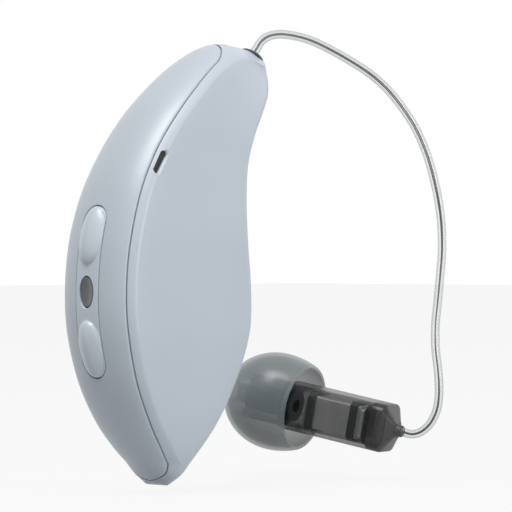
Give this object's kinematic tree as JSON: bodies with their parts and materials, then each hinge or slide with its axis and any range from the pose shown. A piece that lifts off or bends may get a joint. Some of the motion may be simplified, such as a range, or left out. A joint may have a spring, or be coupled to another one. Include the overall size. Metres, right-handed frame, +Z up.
{
  "type": "behind the ear hearing aid",
  "caption": "Curved hearing aid casing with a crowned spine cover, rocker control and light window, and a thin clear lead to an in-canal receiver with a soft open ear dome.",
  "frame": {"origin": "the ear saddle: the deepest point of the casing's concave front edge, at half thickness, where the root of the ear carries it", "axes": "+X forward to the ear and the lead, +Y towards the head, +Z up; made for the right ear"},
  "size_m": [0.0356, 0.0194, 0.0361],
  "materials": {
    "shell": "satin",
    "spine": "satin",
    "rocker": "satin",
    "window": "gloss",
    "screen": "matte",
    "frame": "matte",
    "board": "gloss",
    "chips": "matte",
    "components": "satin",
    "microphone": "satin",
    "seal": "matte",
    "flex": "gloss",
    "led": "gloss",
    "steel": "satin",
    "cell": "satin",
    "ferrite": "matte",
    "copper": "satin",
    "gold": "polished",
    "socket": "matte",
    "plug": "satin",
    "tube": "clear, gloss",
    "wires": "satin",
    "relief": "matte",
    "end_cap": "smoky, gloss",
    "receiver_shell": "smoky, gloss",
    "spout": "gloss",
    "guard": "satin",
    "dome": "soft, translucent"
  },
  "bodies": {
    "casing": {"housing": "shell", "spine_cover": "spine", "front_mic_screen": "screen", "rear_mic_screen": "screen", "inner_frame": "frame", "circuit_board": "board", "signal_chips": "chips", "small_components": "components", "front_microphone": "microphone", "rear_microphone": "microphone", "front_mic_seal": "seal", "rear_mic_seal": "seal", "switch_flex": "flex", "tactile_switches": "steel", "status_led": "led", "battery_cell": "cell", "battery_tabs": "steel", "ferrite_disc": "ferrite", "charging_coil": "copper", "antenna": "copper", "telecoil": "copper", "lead_socket": "socket", "socket_contacts": "gold"},
    "rocker": {"control_rocker": "rocker", "rocker_pins": "steel", "light_window": "window"},
    "lead": {"lead_plug": "plug", "plug_contacts": "gold", "lead_tube": "tube", "lead_wires": "wires", "strain_relief": "relief", "receiver_end_cap": "end_cap", "receiver_shell": "receiver_shell", "receiver_can": "steel", "receiver_terminals": "gold", "receiver_boots": "seal", "sound_spout": "spout"},
    "guard": {"wax_guard": "guard"},
    "dome": {"ear_dome": "dome"}
  },
  "joints": [
    {"name": "rocker_tilt", "type": "hinge", "parent": "casing", "child": "rocker", "pos_m": [-0.01221, 0, -0.0076], "axis": [0, 1, 0], "range_deg": [-2, 2], "stiffness_Nm_per_rad": 0.05},
    {"name": "lead_unplug", "type": "slide", "parent": "casing", "child": "lead", "axis": [0.6269, 0, 0.7791], "range_m": [0, 0.006]},
    {"name": "guard_pull", "type": "slide", "parent": "lead", "child": "guard", "axis": [-0.2771, 0.9422, 0.1884], "range_m": [0, 0.003]},
    {"name": "dome_pull", "type": "slide", "parent": "lead", "child": "dome", "axis": [-0.2771, 0.9422, 0.1884], "range_m": [0, 0.006]}
  ]
}
